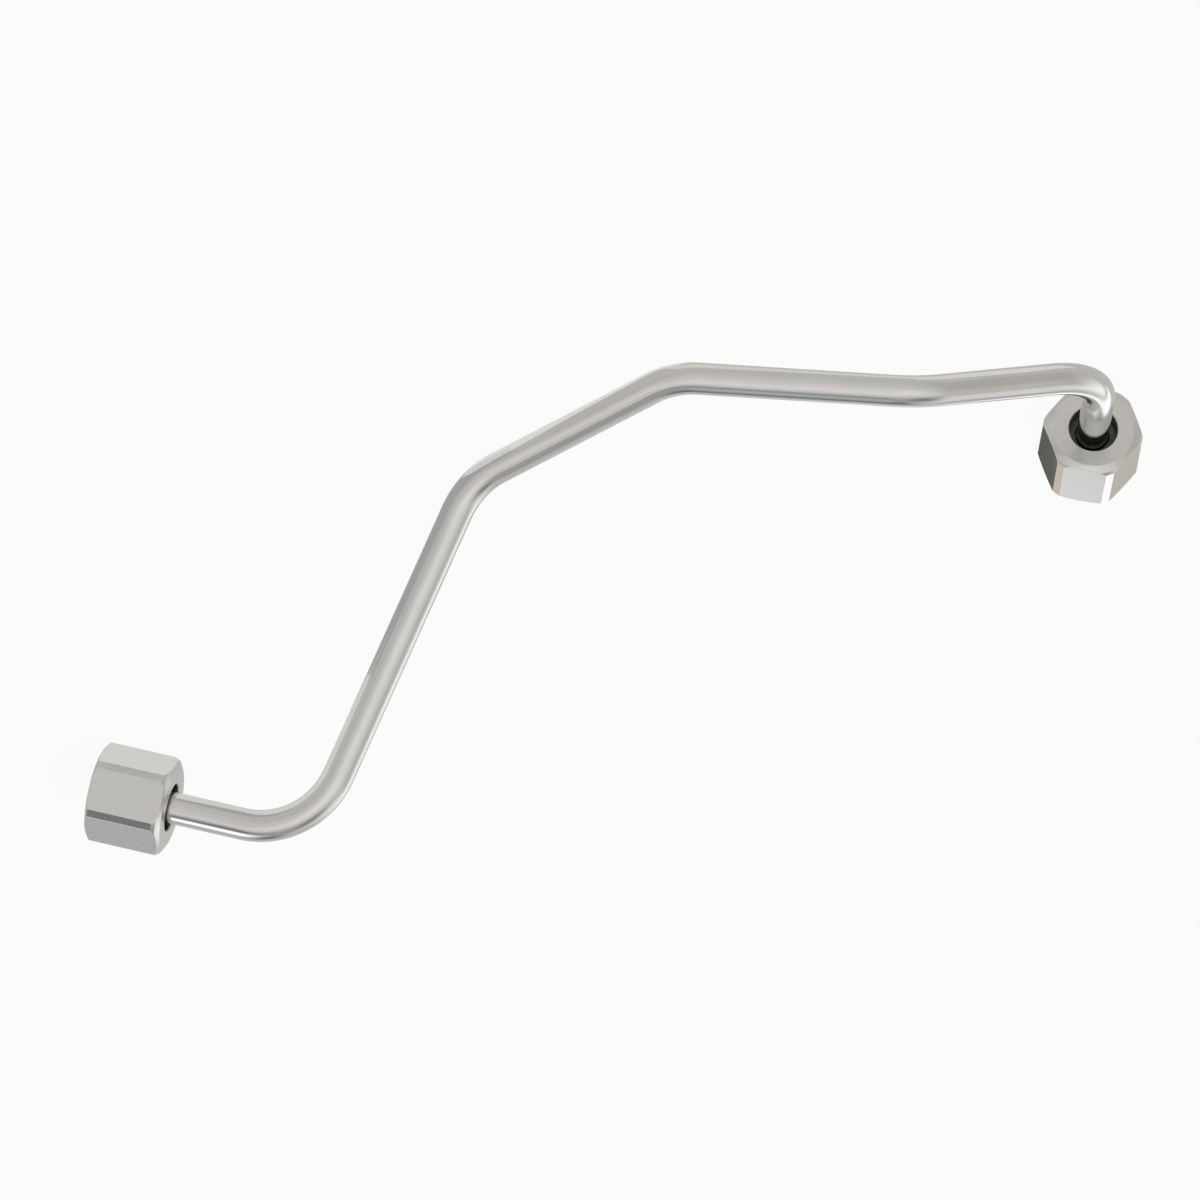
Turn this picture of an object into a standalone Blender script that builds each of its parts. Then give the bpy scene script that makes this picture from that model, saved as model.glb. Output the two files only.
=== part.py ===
"""A fuel injection line: a bent steel tube with a formed head, a thrust sleeve and a union nut at each end.

Metres, +Z up. The line lies on a bench, on the rims of its two nuts and on the outside of its second bend.
+X runs along the bench from the inlet nut to the outlet nut, and the origin is under the middle of the part.
"""

import math
from itertools import pairwise

import bmesh
import bpy
from mathutils import Matrix, Vector

# Tube
TUBE_DIAMETER = 0.006
BORE_DIAMETER = 0.0024
BORE_MOUTH_CHAMFER = 0.0003
BEND_RADIUS = 0.016  # of the centre line, the same at every bend: one bending roller

# Straights between the bends. The first and the last run from the face of a seated nut.
INLET_STRAIGHT = 0.0138
RISER_STRAIGHT = 0.0537
RAMP_STRAIGHT = 0.0342
SPAN_STRAIGHT = 0.0361
REACH_STRAIGHT = 0.0235
OUTLET_STRAIGHT = 0.0133

# Bends, and how far the tube is turned about its own axis in the bender before each of them
ELBOW_ANGLE = math.radians(79.0)
KNEE_ANGLE = math.radians(42.5)
KNEE_TURN = math.radians(162.0)
SHOULDER_ANGLE = math.radians(33.5)
SHOULDER_TURN = math.radians(45.0)
KINK_ANGLE = math.radians(35.5)
KINK_TURN = math.radians(75.0)
HOOK_ANGLE = math.radians(70.0)
HOOK_TURN = math.radians(-41.0)

# Sealing head, upset on each end of the tube
HEAD_DIAMETER = 0.009
HEAD_BAND = 0.0006
NOSE_DIAMETER = 0.0046
NOSE_HALF_ANGLE = math.radians(30.0)

# Thrust sleeve, loose on the tube behind each head. Its mouth and the back of the head are 45 degree cones.
SLEEVE_DIAMETER = 0.0118
SLEEVE_LENGTH = 0.0031
SLEEVE_CHAMFER = 0.0003
SLEEVE_RUNNING_CLEARANCE = 0.0002
SLEEVE_MOUTH_CLEARANCE = 0.0001

# Union nut, turned from hexagon bar
NUT_LENGTH = 0.0145
ACROSS_FLATS = 0.017
CORNER_DIAMETER = 0.0189
TUBE_HOLE_DIAMETER = 0.009
TUBE_HOLE_CHAMFER = 0.0002
WEB_THICKNESS = 0.0026
TUBE_FACE_DIAMETER = 0.0153
FACE_CONE_DIAMETER = 0.018
FACE_CONE_ANGLE = math.radians(27.0)
CORNER_CONE_ANGLE = math.radians(60.0)
THREAD_FACE_DIAMETER = 0.0168
THREAD_FACE_ANGLE = math.radians(30.0)
THREAD_MINOR_DIAMETER = 0.01238
THREAD_MOUTH_DIAMETER = 0.0144
RELIEF_DIAMETER = 0.0143
RELIEF_WIDTH = 0.0022
INLET_NUT_TURN = math.radians(31.0)
OUTLET_NUT_TURN = math.radians(2.0)

# Space left between faces that seat on each other
SEAT_GAP = 0.0003

# Fineness of the round forms
TUBE_SIDES = 32
BEND_STEP = math.radians(7.5)
TURNED_STEPS = 60
REST_PASSES = 20
SAME_PLACE = 0.00001

# Heights along a seated end, from the nut's threaded face towards the middle of the tube
SHOULDER_HEIGHT = NUT_LENGTH - WEB_THICKNESS
SLEEVE_HEIGHT = SHOULDER_HEIGHT - SEAT_GAP - SLEEVE_LENGTH
NOSE_LENGTH = (HEAD_DIAMETER - NOSE_DIAMETER) / 2 / math.tan(NOSE_HALF_ANGLE)
TIP_HEIGHT = SLEEVE_HEIGHT + SLEEVE_MOUTH_CLEARANCE - SEAT_GAP - HEAD_BAND - NOSE_LENGTH

# Straight before each bend, turn of the tube in the bender, and angle of the bend
BENDING_TABLE = (
    (NUT_LENGTH - TIP_HEIGHT + INLET_STRAIGHT, 0.0, ELBOW_ANGLE),
    (RISER_STRAIGHT, KNEE_TURN, KNEE_ANGLE),
    (RAMP_STRAIGHT, SHOULDER_TURN, SHOULDER_ANGLE),
    (SPAN_STRAIGHT, KINK_TURN, KINK_ANGLE),
    (REACH_STRAIGHT, HOOK_TURN, HOOK_ANGLE),
)
LAST_STRAIGHT = OUTLET_STRAIGHT + NUT_LENGTH - TIP_HEIGHT
KNEE = 1


def clear_scene():
    for obj in list(bpy.data.objects):
        bpy.data.objects.remove(obj, do_unlink=True)


def steel(name, colour, roughness):
    material = bpy.data.materials.new(name)
    material.use_nodes = True
    shader = material.node_tree.nodes["Principled BSDF"]
    shader.inputs["Base Color"].default_value = (*colour, 1.0)
    shader.inputs["Metallic"].default_value = 1.0
    shader.inputs["Roughness"].default_value = roughness
    return material


def finished_mesh(bm, name, material):
    bmesh.ops.recalc_face_normals(bm, faces=bm.faces)
    mesh = bpy.data.meshes.new(name)
    bm.to_mesh(mesh)
    bm.free()
    mesh.shade_smooth()
    mesh.set_sharp_from_angle(angle=math.radians(20.0))
    mesh.materials.append(material)
    return mesh


def turned(profile):
    """Turns a closed outline of (radius, height) points about the Z axis."""
    bm = bmesh.new()
    corners = [bm.verts.new((radius, 0.0, height)) for radius, height in profile]
    outline = [bm.edges.new(pair) for pair in pairwise(corners + corners[:1])]
    bmesh.ops.spin(
        bm, geom=corners + outline, cent=(0, 0, 0), axis=(0, 0, 1), angle=math.tau,
        steps=TURNED_STEPS, use_merge=True,
    )
    return bm


def bent(frame, inward, angle):
    """The frame at an angle round a bend that curls towards a direction in the frame's XY plane."""
    centre = frame @ (BEND_RADIUS * inward)
    axis = frame.to_3x3() @ Vector((0, 0, 1)).cross(inward)
    return Matrix.Translation(centre) @ Matrix.Rotation(angle, 4, axis) @ Matrix.Translation(-centre) @ frame


def route():
    """Frames along the centre line, tip to tip, with Z along the tube, and those of each bend by itself."""
    frame = Matrix.Identity(4)
    frames = [frame]
    bends = []
    plane = 0.0
    for straight, turn, angle in BENDING_TABLE:
        frame = frame @ Matrix.Translation((0, 0, straight))
        plane += turn
        inward = Vector((math.cos(plane), math.sin(plane), 0))
        steps = math.ceil(angle / BEND_STEP)
        bend = [bent(frame, inward, angle * step / steps) for step in range(steps + 1)]
        frames += bend
        bends.append(bend)
        frame = bend[-1]
    frames.append(frame @ Matrix.Translation((0, 0, LAST_STRAIGHT)))
    return frames, bends


def sections(frames, end_profile, radius):
    """The (frame, radius) sections of one side of the wall: its end profile, the bends, and the same end again."""
    start, finish = frames[0], frames[-1]
    inlet = [(start @ Matrix.Translation((0, 0, depth)), width) for depth, width in end_profile]
    outlet = [(finish @ Matrix.Translation((0, 0, -depth)), width) for depth, width in reversed(end_profile)]
    return inlet + [(frame, radius) for frame in frames[1:-1]] + outlet


def tube_mesh(frames, material):
    """The tube: one wall that runs along the outside from nose to nose, and back through the bore."""
    tube_radius = TUBE_DIAMETER / 2
    head_radius = HEAD_DIAMETER / 2
    bore_radius = BORE_DIAMETER / 2
    band_end = NOSE_LENGTH + HEAD_BAND
    head = (
        (0.0, NOSE_DIAMETER / 2),
        (NOSE_LENGTH, head_radius),
        (band_end, head_radius),
        (band_end + head_radius - tube_radius, tube_radius),
    )
    bore_mouth = ((0.0, bore_radius + BORE_MOUTH_CHAMFER), (BORE_MOUTH_CHAMFER, bore_radius))
    outside = sections(frames, head, tube_radius)
    bore = sections(frames, bore_mouth, bore_radius)
    wall = outside + bore[::-1] + outside[:1]

    bm = bmesh.new()
    frame, radius = wall[0]
    ring = bmesh.ops.create_circle(bm, segments=TUBE_SIDES, radius=radius, matrix=frame)["verts"]
    rim = {edge for vert in ring for edge in vert.link_edges}
    for (here, width), (there, next_width) in pairwise(wall):
        drawn = bmesh.ops.extrude_edge_only(bm, edges=list(rim))["geom"]
        ring = {item for item in drawn if isinstance(item, bmesh.types.BMVert)}
        grow = Matrix.Diagonal((next_width / width, next_width / width, 1.0, 1.0))
        bmesh.ops.transform(bm, matrix=there @ grow @ here.inverted(), verts=list(ring))
        rim = {edge for vert in ring for edge in vert.link_edges if ring.issuperset(edge.verts)}
    bmesh.ops.remove_doubles(bm, verts=bm.verts[:], dist=SAME_PLACE)
    return finished_mesh(bm, "tube", material)


def sleeve_mesh(material):
    """The thrust sleeve, with its cone mouth at height 0 and its back towards the nut's shoulder."""
    outer = SLEEVE_DIAMETER / 2
    bore = TUBE_DIAMETER / 2 + SLEEVE_RUNNING_CLEARANCE
    mouth = HEAD_DIAMETER / 2 + SLEEVE_MOUTH_CLEARANCE
    bm = turned((
        (mouth, 0.0),
        (outer, 0.0),
        (outer, SLEEVE_LENGTH - SLEEVE_CHAMFER),
        (outer - SLEEVE_CHAMFER, SLEEVE_LENGTH),
        (bore, SLEEVE_LENGTH),
        (bore, mouth - bore),
    ))
    return finished_mesh(bm, "sleeve", material)


def corner_height(radius):
    """Height at which the chamfer of the threaded face reaches a radius."""
    return (radius - THREAD_FACE_DIAMETER / 2) * math.tan(THREAD_FACE_ANGLE)


def nut_mesh(material):
    """The union nut: a turned blank with its threaded face at height 0, then six flats cut from it."""
    corner = CORNER_DIAMETER / 2
    cone = FACE_CONE_DIAMETER / 2
    tube_face = TUBE_FACE_DIAMETER / 2
    cone_height = NUT_LENGTH - (cone - tube_face) * math.tan(FACE_CONE_ANGLE)
    hole = TUBE_HOLE_DIAMETER / 2
    relief = RELIEF_DIAMETER / 2
    minor = THREAD_MINOR_DIAMETER / 2
    mouth = THREAD_MOUTH_DIAMETER / 2
    relief_start = SHOULDER_HEIGHT - RELIEF_WIDTH
    bm = turned((
        (mouth, 0.0),
        (THREAD_FACE_DIAMETER / 2, 0.0),
        (corner, corner_height(corner)),
        (corner, cone_height - (corner - cone) * math.tan(CORNER_CONE_ANGLE)),
        (cone, cone_height),
        (tube_face, NUT_LENGTH),
        (hole + TUBE_HOLE_CHAMFER, NUT_LENGTH),
        (hole, NUT_LENGTH - TUBE_HOLE_CHAMFER),
        (hole, SHOULDER_HEIGHT),
        (relief, SHOULDER_HEIGHT),
        (relief, relief_start),
        (minor, relief_start - (relief - minor)),
        (minor, mouth - minor),
    ))
    for flat in range(6):
        outward = Matrix.Rotation(math.tau * flat / 6, 3, "Z") @ Vector((1, 0, 0))
        cut = bmesh.ops.bisect_plane(
            bm, geom=bm.verts[:] + bm.edges[:] + bm.faces[:], dist=1e-7,
            plane_co=outward * ACROSS_FLATS / 2, plane_no=outward, clear_outer=True,
        )["geom_cut"]
        rim = [item for item in cut if isinstance(item, bmesh.types.BMEdge)]
        bmesh.ops.contextual_create(bm, geom=rim)
    return finished_mesh(bm, "nut", material)


def nut_rim(seat):
    """The outer edge of the threaded face's chamfer on a nut at this seat, which is what meets the bench."""
    points = []
    for step in range(TURNED_STEPS):
        angle = math.tau * step / TURNED_STEPS
        from_flat = (angle + math.tau / 12) % (math.tau / 6) - math.tau / 12
        radius = min(CORNER_DIAMETER, ACROSS_FLATS / math.cos(from_flat)) / 2
        points.append(seat @ Vector((radius * math.cos(angle), radius * math.sin(angle), corner_height(radius))))
    return points


def resting_turn(inlet_rim, outlet_rim, knee, middle):
    """The rotation that lays the line on both nut rims and on the outside of the knee, below its middle."""
    def lowest(points, up):
        return min(points, key=up.dot)

    inlet, outlet = inlet_rim[0], outlet_rim[0]
    touch = knee[len(knee) // 2]
    for _ in range(REST_PASSES):
        up = (outlet - inlet).cross(touch - inlet).normalized()
        if up.dot(middle - inlet) < 0:
            up.negate()
        inlet, outlet = lowest(inlet_rim, up), lowest(outlet_rim, up)
        touch = lowest(knee, up) - up * TUBE_DIAMETER / 2
    along = (outlet - inlet).normalized()
    return Matrix((along, up.cross(along), up)).to_4x4()


def placed(name, mesh, place, parent):
    obj = bpy.data.objects.new(name, mesh)
    bpy.context.scene.collection.objects.link(obj)
    obj.parent = parent
    obj.matrix_local = place
    return obj


def lay_on_bench(carrier, pieces, turn):
    """Turns the carrier, then moves it so that the part stands on Z = 0 with the origin under its middle."""
    carrier.matrix_world = turn
    bpy.context.view_layer.update()
    points = [piece.matrix_world @ vert.co for piece in pieces for vert in piece.data.vertices]
    low, high = (Vector(pick(point[axis] for point in points) for axis in range(3)) for pick in (min, max))
    carrier.matrix_world = Matrix.Translation((-(low.x + high.x) / 2, -(low.y + high.y) / 2, -low.z)) @ turn


def build():
    clear_scene()
    frames, bends = route()
    tips = {"inlet": frames[0], "outlet": frames[-1] @ Matrix.Rotation(math.pi, 4, "X")}
    nut_turns = {"inlet": INLET_NUT_TURN, "outlet": OUTLET_NUT_TURN}

    carrier = bpy.data.objects.new("line", None)
    bpy.context.scene.collection.objects.link(carrier)
    tube_steel = steel("bright_drawn_steel", (0.60, 0.59, 0.57), 0.32)
    nut_steel = steel("plated_steel", (0.63, 0.62, 0.59), 0.30)
    sleeve_steel = steel("turned_steel", (0.45, 0.45, 0.45), 0.38)

    pieces = [placed("tube", tube_mesh(frames, tube_steel), Matrix.Identity(4), carrier)]
    sleeve = sleeve_mesh(sleeve_steel)
    nut = nut_mesh(nut_steel)
    rims = {}
    for end, tip in tips.items():
        mouth = tip @ Matrix.Translation((0, 0, -TIP_HEIGHT))
        seat = mouth @ Matrix.Rotation(nut_turns[end], 4, "Z")
        sleeve_seat = mouth @ Matrix.Translation((0, 0, SLEEVE_HEIGHT))
        pieces.append(placed(end + "_sleeve", sleeve, sleeve_seat, carrier))
        pieces.append(placed(end + "_nut", nut, seat, carrier))
        rims[end] = nut_rim(seat)

    knee = [frame.to_translation() for frame in bends[KNEE]]
    middle = sum((frame.to_translation() for frame in frames), Vector()) / len(frames)
    lay_on_bench(carrier, pieces, resting_turn(rims["inlet"], rims["outlet"], knee, middle))


build()
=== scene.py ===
import math
from itertools import pairwise

import bmesh
import bpy
from mathutils import Matrix, Vector


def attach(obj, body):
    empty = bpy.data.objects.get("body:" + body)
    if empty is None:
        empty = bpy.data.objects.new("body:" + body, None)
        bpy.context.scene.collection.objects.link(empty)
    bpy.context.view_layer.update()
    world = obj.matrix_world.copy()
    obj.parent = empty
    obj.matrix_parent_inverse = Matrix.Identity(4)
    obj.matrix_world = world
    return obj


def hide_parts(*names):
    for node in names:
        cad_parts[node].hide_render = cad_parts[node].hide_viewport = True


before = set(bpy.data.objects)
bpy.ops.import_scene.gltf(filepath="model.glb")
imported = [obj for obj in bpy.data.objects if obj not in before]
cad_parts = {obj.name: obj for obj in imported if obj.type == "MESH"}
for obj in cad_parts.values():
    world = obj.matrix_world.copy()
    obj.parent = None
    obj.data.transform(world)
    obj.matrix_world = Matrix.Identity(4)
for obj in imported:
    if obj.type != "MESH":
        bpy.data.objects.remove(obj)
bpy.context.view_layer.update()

# The camera looks down on the line with a long lens, so parallel edges stay parallel in the picture.
# It is rolled, because the line stands across the picture and not along the bench.
LOOKED_AT = Vector((0.001357, -0.026013, 0.0))
VIEW_FROM_AZIMUTH = math.radians(100.352)
VIEW_FROM_HEIGHT = math.radians(49.317)
CAMERA_ROLL = math.radians(151.969)
PICTURE_WIDTH = 1.2 / 5.36  # 1200 photo pixels, at 5.36 of them to a millimetre
CAMERA_DISTANCE = 0.6

camera = bpy.data.objects.new("camera", bpy.data.cameras.new("camera"))
bpy.context.scene.collection.objects.link(camera)
camera.data.type = "ORTHO"
camera.data.ortho_scale = PICTURE_WIDTH
camera.data.clip_start = 0.01
camera.data.clip_end = 10.0
camera.matrix_world = (
    Matrix.Translation(LOOKED_AT)
    @ Matrix.Rotation(VIEW_FROM_AZIMUTH + math.pi / 2, 4, "Z")
    @ Matrix.Rotation(math.pi / 2 - VIEW_FROM_HEIGHT, 4, "X")
    @ Matrix.Rotation(CAMERA_ROLL, 4, "Z")
    @ Matrix.Translation((0.0, 0.0, CAMERA_DISTANCE))
)
bpy.context.scene.camera = camera


# The tube is bright-drawn seamless steel, 6 mm outside with a fine bore. It is cut to length, each end
# is upset cold into a sealing head with a 60 degree nose, and then it is bent five times on one roller.
TUBE_RADIUS = 0.003
BORE_RADIUS = 0.0012
BORE_MOUTH_CHAMFER = 0.0003
HEAD_RADIUS = 0.0045
HEAD_BAND = 0.0006
HEAD_BACK_ANGLE = math.radians(45.0)
HEAD_FILLET = 0.0005
FILLET_STEPS = 3
NOSE_RADIUS = 0.0023
NOSE_HALF_ANGLE = math.radians(30.0)
TUBE_EDGE_BREAK = 0.0001

BEND_RADIUS = 0.016
BEND_STEP = 2.5  # degrees from ring to ring of the mesh
BENDS = (  # straight before the bend, turn of the tube in the bender, angle of the bend
    (0.0244105, 0.0, 79.0),
    (0.0537, 162.0, 42.5),
    (0.0342, 45.0, 33.5),
    (0.0361, 75.0, 35.5),
    (0.0235, -41.0, 70.0),
)
LAST_STRAIGHT = 0.0239105

INLET_TIP = Vector((-0.0975205, -0.0220764, 0.0095914))
ALONG_INLET = Vector((0.789808, -0.213899, 0.574849))
FIRST_CURL = Vector((0.553826, 0.651475, -0.518513))

SMOOTH_UP_TO = math.radians(32.0)
SHARP_FROM = math.radians(20.0)
NOISE_ROUGHNESS = 0.55
NOISE_LOW, NOISE_HIGH = 0.3, 0.7
MICRON = 0.000001


def finished_mesh(bm, name, materials, place, planes=()):
    """Notes where each point is on the plain workpiece, for the tool marks, and puts it in its place."""
    bmesh.ops.recalc_face_normals(bm, faces=bm.faces)
    workpiece = bm.verts.layers.float_vector.new("workpiece")
    for vert in bm.verts:
        vert[workpiece] = vert.co
        vert.co = place(vert.co)
    mesh = bpy.data.meshes.new(name)
    bm.to_mesh(mesh)
    bm.free()
    mesh.shade_smooth()
    mesh.set_sharp_from_angle(angle=SMOOTH_UP_TO)
    for index in planes:
        mesh.polygons[index].use_smooth = False
    for material in materials:
        mesh.materials.append(material)
    return mesh


def stand_in(name, mesh, node):
    """Shows the finished piece for a node of the frame, and moves it with the body of the same name."""
    piece = bpy.data.objects.new(name, mesh)
    bpy.context.scene.collection.objects.link(piece)
    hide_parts(node)
    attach(piece, node)


def turned(profile, steps):
    """Turns a closed outline of (radius, height) points about the Z axis."""
    bm = bmesh.new()
    corners = [bm.verts.new((radius, 0.0, height)) for radius, height in profile]
    outline = [bm.edges.new(pair) for pair in pairwise(corners + corners[:1])]
    bmesh.ops.spin(
        bm, geom=corners + outline, cent=(0, 0, 0), axis=(0, 0, 1), angle=math.tau,
        steps=steps, use_merge=True,
    )
    bmesh.ops.recalc_face_normals(bm, faces=bm.faces)
    return bm


def break_edges(bm, width):
    """Rounds every sharp edge, as tumbling and handling do."""
    sharp = [edge for edge in bm.edges if edge.calc_face_angle(0.0) > SHARP_FROM]
    bmesh.ops.bevel(
        bm, geom=sharp, offset=width, offset_type="OFFSET", affect="EDGES", segments=3,
        profile=0.5, material=-1, clamp_overlap=True,
    )


def curled(place, curl, angle):
    """The place reached at an angle round a bend that curls towards a direction across the tube."""
    inward = Vector((math.cos(curl), math.sin(curl), 0.0))
    axis = Vector((0.0, 0.0, 1.0)).cross(inward)
    to_roller = Matrix.Translation(inward * BEND_RADIUS)
    return place @ to_roller @ Matrix.Rotation(angle, 4, axis) @ to_roller.inverted()


across_inlet = ALONG_INLET.cross(FIRST_CURL)
place = Matrix((FIRST_CURL, across_inlet, ALONG_INLET)).transposed().to_4x4()
place.translation = INLET_TIP
length, curl = 0.0, 0.0
stretches = []  # for each straight or bend: the length where it starts, its place there, and its curl
ring_lengths = []
for straight, turn, angle in BENDS:
    stretches.append((length, place, None))
    length += straight
    place = place @ Matrix.Translation((0.0, 0.0, straight))
    curl += math.radians(turn)
    stretches.append((length, place, curl))
    arc = math.radians(angle) * BEND_RADIUS
    rings = math.ceil(angle / BEND_STEP)
    ring_lengths += [length + arc * ring / rings for ring in range(rings + 1)]
    length += arc
    place = curled(place, curl, math.radians(angle))
stretches.append((length, place, None))
TUBE_LENGTH = length + LAST_STRAIGHT


def along_tube(length):
    """The place of the tube's section at a length from the inlet tip, once the tube is bent."""
    reached = [stretch for stretch in stretches if stretch[0] <= max(length, 0.0)]
    start, place, curl = reached[-1]
    if curl is None:
        return place @ Matrix.Translation((0.0, 0.0, length - start))
    return curled(place, curl, (length - start) / BEND_RADIUS)


def bent(point):
    """Where a point of the straight tube goes when the tube is bent."""
    return along_tube(point.z) @ Vector((point.x, point.y, 0.0))


def steel(name, colour, roughness):
    """A steel of one colour and roughness, and the coordinate in metres that its finish is laid on."""
    material = bpy.data.materials.new(name)
    material.use_nodes = True
    nodes = material.node_tree.nodes
    shader = nodes["Principled BSDF"]
    shader.inputs["Base Color"].default_value = (*colour, 1.0)
    shader.inputs["Metallic"].default_value = 1.0
    shader.inputs["Roughness"].default_value = roughness
    where = nodes.new("ShaderNodeAttribute")
    where.attribute_name = "workpiece"
    return material, where.outputs["Vector"]


def speckle(material, where, stretch, scale, detail=3.0):
    """A noise with so many features to a metre, fewer along the axes that it is stretched on."""
    nodes, links = material.node_tree.nodes, material.node_tree.links
    mapping = nodes.new("ShaderNodeMapping")
    mapping.inputs["Scale"].default_value = stretch
    noise = nodes.new("ShaderNodeTexNoise")
    noise.inputs["Scale"].default_value = scale
    noise.inputs["Detail"].default_value = detail
    noise.inputs["Roughness"].default_value = NOISE_ROUGHNESS
    links.new(where, mapping.inputs["Vector"])
    links.new(mapping.outputs["Vector"], noise.inputs["Vector"])
    return noise.outputs["Fac"]


def ranged(material, noise, low, high):
    """Spreads the middle of a noise over a range."""
    nodes, links = material.node_tree.nodes, material.node_tree.links
    spread = nodes.new("ShaderNodeMapRange")
    spread.inputs["From Min"].default_value = NOISE_LOW
    spread.inputs["From Max"].default_value = NOISE_HIGH
    spread.inputs["To Min"].default_value = low
    spread.inputs["To Max"].default_value = high
    links.new(noise, spread.inputs["Value"])
    return spread.outputs["Result"]


def give_finish(material, tint, roughness, marks):
    """Varies a steel: its tint is (noise, dark grey, light grey), its roughness is (noise, low, high), and
    its marks are bumps of (noise, height in metres) that are laid over each other."""
    nodes, links = material.node_tree.nodes, material.node_tree.links
    shader = nodes["Principled BSDF"]
    noise, dark, light = tint
    mix = nodes.new("ShaderNodeMix")
    mix.data_type = "RGBA"
    mix.inputs["A"].default_value = (*dark, 1.0)
    mix.inputs["B"].default_value = (*light, 1.0)
    links.new(ranged(material, noise, 0.0, 1.0), mix.inputs["Factor"])
    links.new(mix.outputs["Result"], shader.inputs["Base Color"])
    links.new(ranged(material, *roughness), shader.inputs["Roughness"])
    below = None
    for noise, height in marks:
        bump = nodes.new("ShaderNodeBump")
        bump.inputs["Strength"].default_value = 1.0
        bump.inputs["Distance"].default_value = height
        links.new(noise, bump.inputs["Height"])
        if below:
            links.new(below, bump.inputs["Normal"])
        below = bump.outputs["Normal"]
    links.new(below, shader.inputs["Normal"])


tube_steel, where = steel("bright_drawn_steel", (0.66, 0.658, 0.656), 0.13)
die_lines = speckle(tube_steel, where, (1.0, 1.0, 0.012), 3200.0)
grain = speckle(tube_steel, where, (1.0, 1.0, 0.5), 2600.0, detail=4.0)
patches = speckle(tube_steel, where, (1.0, 1.0, 0.3), 260.0, detail=2.0)
give_finish(
    tube_steel,
    tint=(patches, (0.644, 0.643, 0.641), (0.675, 0.673, 0.671)),
    roughness=(die_lines, 0.11, 0.16),
    marks=((die_lines, 0.8 * MICRON), (grain, 0.4 * MICRON)),
)


def from_outlet(points):
    """The same outline, measured from the other end of the tube."""
    return [(radius, TUBE_LENGTH - height) for radius, height in points]


nose_length = (HEAD_RADIUS - NOSE_RADIUS) / math.tan(NOSE_HALF_ANGLE)
band_end = nose_length + HEAD_BAND
back_end = band_end + (HEAD_RADIUS - TUBE_RADIUS) / math.tan(HEAD_BACK_ANGLE)
fillet_end = back_end + HEAD_FILLET * math.tan(HEAD_BACK_ANGLE / 2)
head = [(NOSE_RADIUS, 0.0), (HEAD_RADIUS, nose_length), (HEAD_RADIUS, band_end)]
for step in range(FILLET_STEPS + 1):
    angle = HEAD_BACK_ANGLE * (1.0 - step / FILLET_STEPS)
    radius = TUBE_RADIUS + HEAD_FILLET * (1.0 - math.cos(angle))
    head.append((radius, fillet_end - HEAD_FILLET * math.sin(angle)))
bore_mouth = [(BORE_RADIUS + BORE_MOUTH_CHAMFER, 0.0), (BORE_RADIUS, BORE_MOUTH_CHAMFER)]
tube_profile = (
    head
    + [(TUBE_RADIUS, length) for length in ring_lengths]
    + from_outlet(reversed(head))
    + from_outlet(bore_mouth)
    + [(BORE_RADIUS, length) for length in reversed(ring_lengths)]
    + bore_mouth[::-1]
)
bm = turned(tube_profile, steps=72)
break_edges(bm, TUBE_EDGE_BREAK)
mesh = finished_mesh(bm, "bent_tube", [tube_steel], bent)
stand_in("bent_tube", mesh, "tube")


# Two thrust sleeves are slid on the tube before its heads are formed. Each is a short turned ring with
# a cone in its mouth, and it passes the pull of its nut to the back of the head.
SLEEVE_RADIUS = 0.0059
SLEEVE_BORE = 0.0032
SLEEVE_LENGTH = 0.0031
SLEEVE_CHAMFER = 0.0003
SLEEVE_MOUTH = 0.0046
SLEEVE_EDGE_BREAK = 0.00008

TIP_HEIGHT = 0.0038895  # heights above the threaded face of a seated nut
SLEEVE_HEIGHT = 0.0085

tips = {
    "inlet": along_tube(0.0),
    "outlet": along_tube(TUBE_LENGTH) @ Matrix.Rotation(math.pi, 4, "X"),
}

# The sleeves are near black as painted shade: they darken the gap round the tube in each nut's hole, and
# the hole's wall that mirrors them.
sleeve_steel, where = steel("painted_shade_sleeve_steel", (0.08, 0.08, 0.08), 0.35)
turning = speckle(sleeve_steel, where, (0.05, 0.05, 1.0), 9000.0)
stains = speckle(sleeve_steel, where, (1.0, 1.0, 1.0), 700.0)
give_finish(
    sleeve_steel,
    tint=(stains, (0.06, 0.06, 0.062), (0.1, 0.1, 0.098)),
    roughness=(turning, 0.3, 0.42),
    marks=((turning, 2.0 * MICRON),),
)

sleeve_profile = (
    (SLEEVE_MOUTH, 0.0),
    (SLEEVE_RADIUS, 0.0),
    (SLEEVE_RADIUS, SLEEVE_LENGTH - SLEEVE_CHAMFER),
    (SLEEVE_RADIUS - SLEEVE_CHAMFER, SLEEVE_LENGTH),
    (SLEEVE_BORE, SLEEVE_LENGTH),
    (SLEEVE_BORE, SLEEVE_MOUTH - SLEEVE_BORE),
)
for end, tip in tips.items():
    name = end + "_sleeve"
    seat = tip @ Matrix.Translation((0.0, 0.0, SLEEVE_HEIGHT - TIP_HEIGHT))
    bm = turned(sleeve_profile, steps=96)
    break_edges(bm, SLEEVE_EDGE_BREAK)
    mesh = finished_mesh(bm, name, [sleeve_steel], seat.__matmul__)
    stand_in(name + "_ring", mesh, name)


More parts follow.
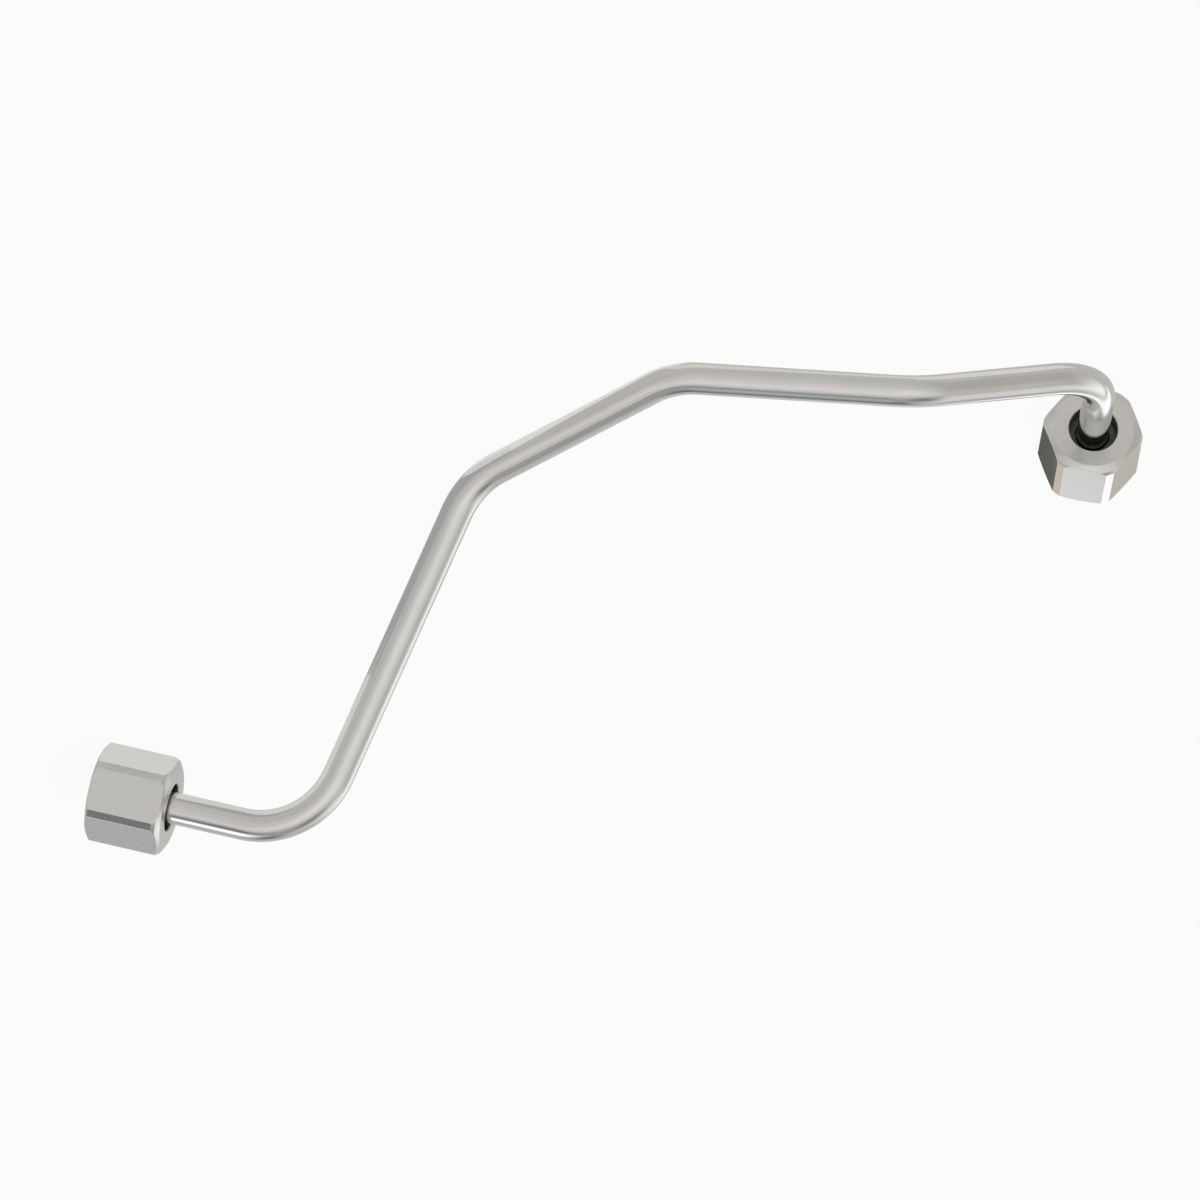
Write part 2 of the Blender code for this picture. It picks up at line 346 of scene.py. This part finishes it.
# The union nuts are turned from hexagon bar, 17 mm across flats, and plated. The bar's corners are drawn
# flat to strips, both faces are chamfered, and an M14x1.5 thread is tapped up to a relief groove.
NUT_LENGTH = 0.0145
FLAT_DISTANCE = 0.0085
CORNER_DISTANCE = 0.00936
BLANK_RADIUS = 0.0097
HOLE_RADIUS = 0.0045
HOLE_CHAMFER = 0.0002
SHOULDER_HEIGHT = 0.0119
TUBE_FACE_RADIUS = 0.00765
FACE_CONE_RADIUS = 0.009
FACE_CONE_ANGLE = math.radians(27.0)
CORNER_CONE_ANGLE = math.radians(60.0)
THREAD_FACE_RADIUS = 0.0084
THREAD_FACE_ANGLE = math.radians(30.0)
RELIEF_RADIUS = 0.00715
RELIEF_HEIGHT = 0.0097
NUT_SIDES = 12  # six flats and six corner strips by turns
NUT_EDGE_BREAK = 0.00009
NUT_TURNS = {"inlet": math.radians(31.0), "outlet": math.radians(2.0)}

THREAD_PITCH = 0.0015
THREAD_ROOT = 0.007
THREAD_CREST = 0.00619
THREAD_MOUTH = 0.0072
RIDGE_START = -0.5 * THREAD_PITCH
RIDGE_END = RELIEF_HEIGHT - 0.4 * THREAD_PITCH
RIDGE_FADE = 0.9 * THREAD_PITCH
RIDGE_SUNK = THREAD_ROOT + 0.00006  # its foot is inside the bore's wall
HALF_FOOT = 0.46 * THREAD_PITCH
HALF_CREST = 0.125 * THREAD_PITCH
STEPS_TO_A_TURN = 96
RIDGE_CUT_HEIGHT = 0.00003
MOUTH_CLEARANCE = 0.000005  # between the ridge and the mouth's chamfer

cone_height = NUT_LENGTH - (FACE_CONE_RADIUS - TUBE_FACE_RADIUS) * math.tan(FACE_CONE_ANGLE)
corner_top = cone_height - (BLANK_RADIUS - FACE_CONE_RADIUS) * math.tan(CORNER_CONE_ANGLE)
corner_foot = (BLANK_RADIUS - THREAD_FACE_RADIUS) * math.tan(THREAD_FACE_ANGLE)
nut_profile = (
    (THREAD_MOUTH, 0.0),
    (THREAD_FACE_RADIUS, 0.0),
    (BLANK_RADIUS, corner_foot),
    (BLANK_RADIUS, corner_top),
    (FACE_CONE_RADIUS, cone_height),
    (TUBE_FACE_RADIUS, NUT_LENGTH),
    (HOLE_RADIUS + HOLE_CHAMFER, NUT_LENGTH),
    (HOLE_RADIUS, NUT_LENGTH - HOLE_CHAMFER),
    (HOLE_RADIUS, SHOULDER_HEIGHT),
    (RELIEF_RADIUS, SHOULDER_HEIGHT),
    (RELIEF_RADIUS, RELIEF_HEIGHT),
    (THREAD_ROOT, RELIEF_HEIGHT - (RELIEF_RADIUS - THREAD_ROOT)),
    (THREAD_ROOT, THREAD_MOUTH - THREAD_ROOT),
)


def cut_off(bm, point, outward):
    """Takes away what lies outside a plane, and gives the edges along the cut."""
    cut = bmesh.ops.bisect_plane(
        bm, geom=bm.verts[:] + bm.edges[:] + bm.faces[:], dist=1e-7,
        plane_co=point, plane_no=outward, clear_outer=True,
    )["geom_cut"]
    return [item for item in cut if isinstance(item, bmesh.types.BMEdge)]


def nut_blank():
    """The turned nut with its six flats and, between them, six narrow corner strips."""
    bm = turned(nut_profile, steps=144)
    for side in range(NUT_SIDES):
        outward = Matrix.Rotation(math.tau * side / NUT_SIDES, 3, "Z") @ Vector((1, 0, 0))
        distance = CORNER_DISTANCE if side % 2 else FLAT_DISTANCE
        bmesh.ops.contextual_create(bm, geom=cut_off(bm, outward * distance, outward))
    bmesh.ops.recalc_face_normals(bm, faces=bm.faces)
    break_edges(bm, NUT_EDGE_BREAK)
    return bm


def thread_ridge():
    """A ridge that runs up the bore as a helix, cut back by the mouth's chamfer and fading at its end."""
    steps = round((RIDGE_END - RIDGE_START) / THREAD_PITCH * STEPS_TO_A_TURN)
    section = (
        (RIDGE_SUNK, -HALF_FOOT),
        (THREAD_CREST, -HALF_CREST),
        (THREAD_CREST, HALF_CREST),
        (RIDGE_SUNK, HALF_FOOT),
    )
    bm = bmesh.new()
    corners = [bm.verts.new((radius, 0.0, RIDGE_START + height)) for radius, height in section]
    outline = [bm.edges.new(pair) for pair in pairwise(corners + corners[:1])]
    bmesh.ops.spin(
        bm, geom=corners + outline, cent=(0, 0, 0), axis=(0, 0, 1),
        angle=math.tau * steps / STEPS_TO_A_TURN, dvec=(0.0, 0.0, THREAD_PITCH / STEPS_TO_A_TURN),
        steps=steps, use_merge=False,
    )
    bmesh.ops.holes_fill(bm, edges=bm.edges[:])
    cut_off(bm, Vector((0.0, 0.0, RIDGE_CUT_HEIGHT)), Vector((0.0, 0.0, -1.0)))
    cap = bmesh.ops.holes_fill(bm, edges=bm.edges[:])["faces"]
    bmesh.ops.triangulate(bm, faces=cap)
    for vert in bm.verts:
        radius = math.hypot(vert.co.x, vert.co.y)
        chamfer = min(THREAD_MOUTH + MOUTH_CLEARANCE - vert.co.z, THREAD_MOUTH)
        faded = min((vert.co.z - (RIDGE_END - RIDGE_FADE)) / RIDGE_FADE, 1.0)
        crest = THREAD_CREST + (RIDGE_SUNK - THREAD_CREST) * faded
        vert.co.xy *= max(radius, chamfer, crest) / radius
    bmesh.ops.remove_doubles(bm, verts=bm.verts[:], dist=1e-6)
    bmesh.ops.recalc_face_normals(bm, faces=bm.faces)
    return bm


def round_the_axis(material, where):
    """A coordinate of radius and height, for marks that a lathe tool leaves all round."""
    nodes, links = material.node_tree.nodes, material.node_tree.links
    apart = nodes.new("ShaderNodeSeparateXYZ")
    across = nodes.new("ShaderNodeCombineXYZ")
    radius = nodes.new("ShaderNodeVectorMath")
    radius.operation = "LENGTH"
    ring = nodes.new("ShaderNodeCombineXYZ")
    links.new(where, apart.inputs[0])
    links.new(apart.outputs["X"], across.inputs["X"])
    links.new(apart.outputs["Y"], across.inputs["Y"])
    links.new(across.outputs[0], radius.inputs[0])
    links.new(radius.outputs["Value"], ring.inputs["X"])
    links.new(apart.outputs["Z"], ring.inputs["Y"])
    return ring.outputs[0]


lathe_steel, where = steel("plated_lathe_steel", (0.66, 0.659, 0.648), 0.28)
around = round_the_axis(lathe_steel, where)
tool_rings = speckle(lathe_steel, around, (1.0, 1.0, 1.0), 7000.0, detail=2.0)
clouds = speckle(lathe_steel, where, (1.0, 1.0, 1.0), 420.0, detail=2.0)
give_finish(
    lathe_steel,
    tint=(clouds, (0.645, 0.643, 0.634), (0.68, 0.678, 0.668)),
    roughness=(tool_rings, 0.24, 0.32),
    marks=((tool_rings, 0.2 * MICRON),),
)

bar_steel, where = steel("plated_bar_steel", (0.66, 0.659, 0.648), 0.16)
drawing = speckle(bar_steel, where, (1.0, 1.0, 0.04), 4200.0)
satin = speckle(bar_steel, where, (1.0, 1.0, 0.6), 3000.0, detail=4.0)
give_finish(
    bar_steel,
    tint=(satin, (0.632, 0.63, 0.618), (0.693, 0.691, 0.679)),
    roughness=(satin, 0.12, 0.2),
    marks=((drawing, 0.4 * MICRON), (satin, 1.5 * MICRON)),
)

# The walls inside the nut, its hole, relief and thread, are a darker grey than its outside.
bore_steel, where = steel("darker_bore_steel", (0.36, 0.355, 0.345), 0.3)
around = round_the_axis(bore_steel, where)
chatter = speckle(bore_steel, around, (1.0, 1.0, 1.0), 5000.0, detail=2.0)
bore_mottle = speckle(bore_steel, where, (1.0, 1.0, 1.0), 600.0)
give_finish(
    bore_steel,
    tint=(bore_mottle, (0.31, 0.305, 0.295), (0.42, 0.415, 0.4)),
    roughness=(chatter, 0.22, 0.34),
    marks=((chatter, 1.0 * MICRON),),
)

LATHE, BAR, BORE = range(3)
nut_finishes = [lathe_steel, bar_steel, bore_steel]
ALMOST_ALL = 0.999  # share of a normal that makes a face upright or level
FACE_DEPTH = 0.0001
SIDE_DISTANCE = 0.98 * FLAT_DISTANCE
SMALLEST_SIDE = 0.0000015  # square metres: more than a broken edge and less than a corner strip


def finish_of(face):
    """Whether a face is in the bore, is one of the bar's own sides, or is turned on the lathe."""
    middle = face.calc_center_median()
    if middle.xy.length < THREAD_MOUTH and FACE_DEPTH < middle.z < NUT_LENGTH - FACE_DEPTH:
        return BORE
    is_side = face.normal.xy.length > ALMOST_ALL and middle.xy.length > SIDE_DISTANCE
    return BAR if is_side else LATHE


def is_plane(face):
    """Whether a face is a flat, a corner strip or level, so that it is shaded plane up to its edges."""
    is_whole_side = finish_of(face) == BAR and face.calc_area() > SMALLEST_SIDE
    return is_whole_side or abs(face.normal.z) > ALMOST_ALL


for end, tip in tips.items():
    name = end + "_nut"
    seat = tip @ Matrix.Translation((0.0, 0.0, -TIP_HEIGHT))
    seat = seat @ Matrix.Rotation(NUT_TURNS[end], 4, "Z")
    bm = nut_blank()
    thread = thread_ridge()
    ridge = bpy.data.meshes.new("ridge")
    thread.to_mesh(ridge)
    thread.free()
    bm.from_mesh(ridge)
    bpy.data.meshes.remove(ridge)
    bm.faces.index_update()
    for face in bm.faces:
        face.material_index = finish_of(face)
    planes = [face.index for face in bm.faces if is_plane(face)]
    mesh = finished_mesh(bm, name, nut_finishes, seat.__matmul__, planes)
    stand_in(name + "_hexagon", mesh, name)


# The line lies on a bench top that is painted white. It shows white to the camera, keeps a faint shadow
# of the line, and the steel mirrors it too.
BENCH_SIZE = (3.0, 3.0)
BENCH_PAINT = (0.72, 0.71, 0.69)
BENCH_WHITE_SEEN = 0.93
BENCH_WHITE_MIRRORED = 0.35


def maths(tree, kind, operation, *values):
    """A maths node of values that are each a number, a colour or another node's output."""
    node = tree.nodes.new(kind)
    node.operation = operation
    for socket, value in zip(node.inputs, values):
        if isinstance(value, bpy.types.NodeSocket):
            tree.links.new(value, socket)
        else:
            socket.default_value = value
    return node


def white_for_rays(tree, lit, seen, mirrored):
    """Mixes plain white into what is lit: one share to the eye, and one share in steel and glass."""
    ray = tree.nodes.new("ShaderNodeLightPath").outputs
    white = maths(tree, "ShaderNodeMath", "MULTIPLY", ray["Is Camera Ray"], seen).outputs[0]
    for kind in ("Is Glossy Ray", "Is Transmission Ray"):
        share = maths(tree, "ShaderNodeMath", "MULTIPLY", ray[kind], mirrored).outputs[0]
        white = maths(tree, "ShaderNodeMath", "MAXIMUM", white, share).outputs[0]
    glow = tree.nodes.new("ShaderNodeEmission")
    shown = tree.nodes.new("ShaderNodeMixShader")
    tree.links.new(white, shown.inputs["Fac"])
    tree.links.new(lit, shown.inputs[1])
    tree.links.new(glow.outputs[0], shown.inputs[2])
    return shown.outputs[0]


def stage_sheet(name, size, place):
    """A flat sheet of the stage with a material of the same name, which has no shader yet."""
    material = bpy.data.materials.new(name)
    material.use_nodes = True
    material.node_tree.nodes.remove(material.node_tree.nodes["Principled BSDF"])
    bm = bmesh.new()
    bmesh.ops.create_grid(bm, x_segments=1, y_segments=1, size=0.5)
    bmesh.ops.transform(bm, matrix=place @ Matrix.Diagonal((*size, 1.0, 1.0)), verts=bm.verts)
    mesh = bpy.data.meshes.new(name)
    bm.to_mesh(mesh)
    bm.free()
    mesh.materials.append(material)
    sheet = bpy.data.objects.new(name, mesh)
    bpy.context.scene.collection.objects.link(sheet)
    return sheet, material.node_tree


bench, tree = stage_sheet("bench", BENCH_SIZE, Matrix.Identity(4))
paint = tree.nodes.new("ShaderNodeBsdfDiffuse")
paint.inputs["Color"].default_value = (*BENCH_PAINT, 1.0)
shown = white_for_rays(tree, paint.outputs[0], BENCH_WHITE_SEEN, BENCH_WHITE_MIRRORED)
tree.links.new(shown, tree.nodes["Material Output"].inputs["Surface"])


# Glowing sheets lie on the bench for the steel alone. They are hidden from the eye, from diffuse light and
# from shadows, so they are painted reflections. Pale ones under the line paint a pool of light. A grey one
# left of the long straight is painted shade. A black one is a painted shadow that darkens one flat of the
# outlet nut. A tan and a warm one paint the colour of its corner strip and its right flat. A bright one
# behind paints the long white gleams.
PAINTED_SHEET_HEIGHT = 0.0002
PAINTED_REFLECTIONS = (  # name, middle, size, angle it is turned, light it shows
    # painted shadow: the outlet nut's contact shadow, as one of its flats mirrors it
    ("painted_contact_shadow_sheet", (0.0842, -0.031), (0.011, 0.026), 0.0, (0.14, 0.137, 0.125)),
    ("painted_tan_reflection_sheet", (0.067, -0.05), (0.022, 0.03), 0.0, (0.74, 0.69, 0.53)),
    # painted shade beside the long straight, as the tube mirrors it
    ("painted_shade_sheet", (-0.051, 0.027), (0.056, 0.06), 41.0, (0.51, 0.51, 0.51)),
    # painted pool of light under the line, as the tube mirrors it
    ("painted_pale_reflection_inlet", (-0.077, -0.01), (0.042, 0.034), 0.0, (0.91, 0.9, 0.87)),
    ("painted_pale_reflection_middle", (0.004, 0.027), (0.05, 0.012), 13.0, (1.0, 1.01, 0.98)),
    ("painted_pale_reflection_right", (0.058, 0.042), (0.07, 0.02), -10.0, (0.91, 0.88, 0.82)),
    ("painted_pale_reflection_outlet", (0.112, 0.04), (0.05, 0.04), -7.0, (0.97, 0.94, 0.86)),
    ("painted_pale_reflection_behind", (0.045, -0.17), (0.08, 0.19), 0.0, (0.99, 0.99, 1.0)),
    ("painted_warm_reflection_sheet", (0.113, -0.058), (0.022, 0.022), 0.0, (0.6, 0.57, 0.505)),
    # painted gleams: it glows brighter than white, though it is no lamp
    ("painted_gleam_sheet", (0.162, -0.304), (0.15, 0.432), 0.0, (1.5, 1.5, 1.5)),
)

# Every sheet glows and only the steel mirrors it: painted reflections, and the black and grey ones painted
# shade.
for name, middle, size, angle, light in PAINTED_REFLECTIONS:
    place = Matrix.Translation((*middle, PAINTED_SHEET_HEIGHT)) @ Matrix.Rotation(math.radians(angle), 4, "Z")
    painted_sheet, tree = stage_sheet(name, size, place)
    glow = tree.nodes.new("ShaderNodeEmission")
    glow.inputs["Color"].default_value = (*light, 1.0)
    tree.links.new(glow.outputs[0], tree.nodes["Material Output"].inputs["Surface"])
    painted_sheet.visible_camera = False
    painted_sheet.visible_diffuse = False
    painted_sheet.visible_shadow = False


# The whole stands in a light tent of white cloth. Its soft lamps and the dark cards hung in it are
# lobes of light that are added to the white or taken from it, and they give the steel its bands.
TENT_WHITE = (0.464, 0.451, 0.439)
TENT_WHITE_SEEN = 1.0
TENT_WHITE_MIRRORED = 0.15
LAMPS_AND_CARDS = (  # azimuth, height above the bench, tightness, light (a dark card takes it away)
    (134.0, 69.0, 3.3, (0.67, 0.66, 0.61)),
    (-53.0, 22.0, 3.7, (0.69, 0.68, 0.67)),
    (-142.0, 25.0, 36.6, (1.79, 1.84, 1.87)),
    (-171.0, 51.0, 71.0, (0.52, 0.48, 0.46)),
    (-55.0, 44.0, 52.8, (0.32, 0.31, 0.28)),
    (158.0, 37.0, 14.1, (0.31, 0.26, 0.25)),
    (79.0, 9.0, 12.3, (0.16, 0.15, 0.09)),
    (-165.0, 43.0, 17.8, (-0.99, -0.95, -0.91)),
    (-89.0, 60.0, 16.4, (-0.72, -0.72, -0.72)),
    (-110.0, 19.0, 58.4, (-0.56, -0.55, -0.51)),
    (-124.0, 32.0, 34.3, (-0.54, -0.46, -0.46)),
    (-80.0, 13.0, 57.0, (-0.49, -0.48, -0.49)),
    (-39.0, 39.0, 15.9, (-0.48, -0.46, -0.47)),
    (138.0, 43.0, 20.2, (-0.31, -0.31, -0.27)),
    (-50.0, 3.0, 20.0, (0.41, 0.41, 0.41)),
    (-122.0, 1.0, 40.0, (-0.07, -0.05, 0.01)),
    (-178.0, 82.0, 15.8, (-0.19, -0.19, -0.13)),
    (7.0, 36.0, 14.7, (-0.16, -0.19, -0.25)),
)

tent = bpy.data.worlds.new("light_tent")
tent.use_nodes = True
bpy.context.scene.world = tent
tree = tent.node_tree

direction = tree.nodes.new("ShaderNodeTexCoord").outputs["Generated"]
light = TENT_WHITE
for azimuth, height, tightness, strength in LAMPS_AND_CARDS:
    raised = Matrix.Rotation(math.radians(-height), 3, "Y") @ Vector((1.0, 0.0, 0.0))
    towards = Matrix.Rotation(math.radians(azimuth), 3, "Z") @ raised
    aim = maths(tree, "ShaderNodeVectorMath", "DOT_PRODUCT", direction, towards).outputs["Value"]
    aside = maths(tree, "ShaderNodeMath", "SUBTRACT", aim, 1.0).outputs[0]
    fall = maths(tree, "ShaderNodeMath", "MULTIPLY", aside, tightness).outputs[0]
    share = maths(tree, "ShaderNodeMath", "EXPONENT", fall).outputs[0]
    given = maths(tree, "ShaderNodeVectorMath", "SCALE", strength)
    tree.links.new(share, given.inputs["Scale"])
    light = maths(tree, "ShaderNodeVectorMath", "ADD", light, given.outputs[0]).outputs[0]
light = maths(tree, "ShaderNodeVectorMath", "MAXIMUM", light, (0.0, 0.0, 0.0)).outputs[0]

background = tree.nodes["Background"]
tree.links.new(light, background.inputs["Color"])
shown = white_for_rays(tree, background.outputs[0], TENT_WHITE_SEEN, TENT_WHITE_MIRRORED)
tree.links.new(shown, tree.nodes["World Output"].inputs["Surface"])

bpy.context.scene.view_settings.view_transform = "Standard"
